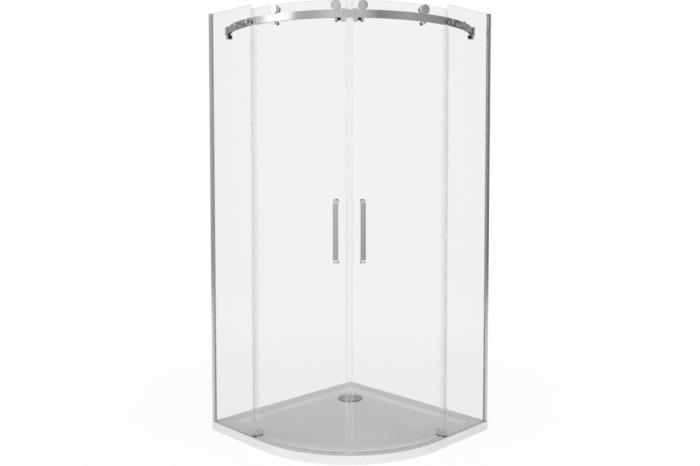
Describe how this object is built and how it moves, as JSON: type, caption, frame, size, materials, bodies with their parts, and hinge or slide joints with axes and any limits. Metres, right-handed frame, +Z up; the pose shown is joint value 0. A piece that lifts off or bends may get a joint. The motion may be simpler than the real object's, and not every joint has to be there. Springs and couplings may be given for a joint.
{
  "type": "corner shower enclosure",
  "caption": "Quadrant corner shower enclosure: low tray, fixed glass panels and curved glass doors that slide on a bent top rail.",
  "frame": {"origin": "under the middle of the tray's square, on the floor", "axes": "+Z up; the walls are at -X and +Y, and the doorway faces the diagonal between +X and -Y"},
  "size_m": [0.9, 0.9, 1.895],
  "materials": {
    "tray_white": "smooth cast resin",
    "clear_glass": "clear toughened glass",
    "rail_chrome": "polished",
    "fitting_chrome": "polished",
    "profile_metal": "bright anodised",
    "steel": "plain steel",
    "clear_seal": "clear soft strip",
    "gasket_rubber": "soft",
    "buffer_rubber": "matt",
    "wheel_nylon": "moulded",
    "guide_plastic": "moulded"
  },
  "bodies": {
    "enclosure": {"tray": "tray_white", "threshold_strip": "profile_metal", "waste_gasket": "gasket_rubber", "waste_body": "steel", "top_rail": "rail_chrome", "profile_screws": "steel", "rail_spacers": "steel", "rail_bolts": "fitting_chrome", "panel_washers": "clear_seal", "closing_buffers": "buffer_rubber", "closing_stop_screws": "steel", "opening_buffers": "buffer_rubber", "wall_profile_left": "profile_metal", "wall_profile_right": "profile_metal", "glazing_gasket_left": "gasket_rubber", "glazing_gasket_right": "gasket_rubber", "fixed_panel_left": "clear_glass", "fixed_panel_right": "clear_glass", "panel_bottom_strip_left": "clear_seal", "panel_bottom_strip_right": "clear_seal", "panel_edge_seal_left": "clear_seal", "panel_edge_seal_right": "clear_seal", "rail_end_bracket_left": "fitting_chrome", "rail_end_bracket_right": "fitting_chrome", "closing_stop_left": "fitting_chrome", "closing_stop_right": "fitting_chrome", "bottom_guide_left": "guide_plastic", "bottom_guide_right": "guide_plastic"},
    "left_door": {"door_glass_left": "clear_glass", "door_front_seal_left": "clear_seal", "door_rear_seal_left": "clear_seal", "door_bottom_seal_left": "clear_seal", "door_handle_left": "fitting_chrome", "handle_screws_left": "steel", "roller_axles_left": "steel", "roller_caps_left": "fitting_chrome", "roller_nuts_left": "fitting_chrome", "pin_sleeves_left": "wheel_nylon", "pin_bolts_left": "steel"},
    "right_door": {"door_glass_right": "clear_glass", "door_front_seal_right": "clear_seal", "door_rear_seal_right": "clear_seal", "door_bottom_seal_right": "clear_seal", "door_handle_right": "fitting_chrome", "handle_screws_right": "steel", "roller_axles_right": "steel", "roller_caps_right": "fitting_chrome", "roller_nuts_right": "fitting_chrome", "pin_sleeves_right": "wheel_nylon", "pin_bolts_right": "steel"},
    "left_front_wheel": {"roller_wheel_front_left": "wheel_nylon", "roller_bearing_front_left": "steel"},
    "left_rear_wheel": {"roller_wheel_rear_left": "wheel_nylon", "roller_bearing_rear_left": "steel"},
    "right_front_wheel": {"roller_wheel_front_right": "wheel_nylon", "roller_bearing_front_right": "steel"},
    "right_rear_wheel": {"roller_wheel_rear_right": "wheel_nylon", "roller_bearing_rear_right": "steel"},
    "drain_cover": {"drain_cover": "fitting_chrome"}
  },
  "joints": [
    {"name": "left_door_slide", "type": "hinge", "parent": "enclosure", "child": "left_door", "pos_m": [-0.15, 0.15, 1.828], "axis": [0, 0, -1], "range_deg": [0, 25.25]},
    {"name": "left_front_wheel_spin", "type": "hinge", "parent": "left_door", "child": "left_front_wheel", "pos_m": [0.21651, -0.29305, 1.8618], "axis": [0.6374, -0.7705, 0], "range_deg": [0, 830]},
    {"name": "left_rear_wheel_spin", "type": "hinge", "parent": "left_door", "child": "left_rear_wheel", "pos_m": [-0.02659, -0.4116, 1.8618], "axis": [0.2146, -0.9767, 0], "range_deg": [0, 830]},
    {"name": "right_door_slide", "type": "hinge", "parent": "enclosure", "child": "right_door", "pos_m": [-0.15, 0.15, 1.828], "axis": [0, 0, 1], "range_deg": [0, 25.25]},
    {"name": "right_front_wheel_spin", "type": "hinge", "parent": "right_door", "child": "right_front_wheel", "pos_m": [0.29305, -0.21651, 1.8618], "axis": [0.7705, -0.6374, 0], "range_deg": [-830, 0]},
    {"name": "right_rear_wheel_spin", "type": "hinge", "parent": "right_door", "child": "right_rear_wheel", "pos_m": [0.4116, 0.02659, 1.8618], "axis": [0.9767, -0.2146, 0], "range_deg": [-830, 0]},
    {"name": "drain_cover_lift", "type": "slide", "parent": "enclosure", "child": "drain_cover", "axis": [0, 0, 1], "range_m": [0, 0.05]}
  ],
  "couplings": [
    {"joint": "left_front_wheel_spin", "follows": "left_door_slide", "ratio": 32.857},
    {"joint": "left_rear_wheel_spin", "follows": "left_door_slide", "ratio": 32.857},
    {"joint": "right_front_wheel_spin", "follows": "right_door_slide", "ratio": -32.857},
    {"joint": "right_rear_wheel_spin", "follows": "right_door_slide", "ratio": -32.857}
  ]
}
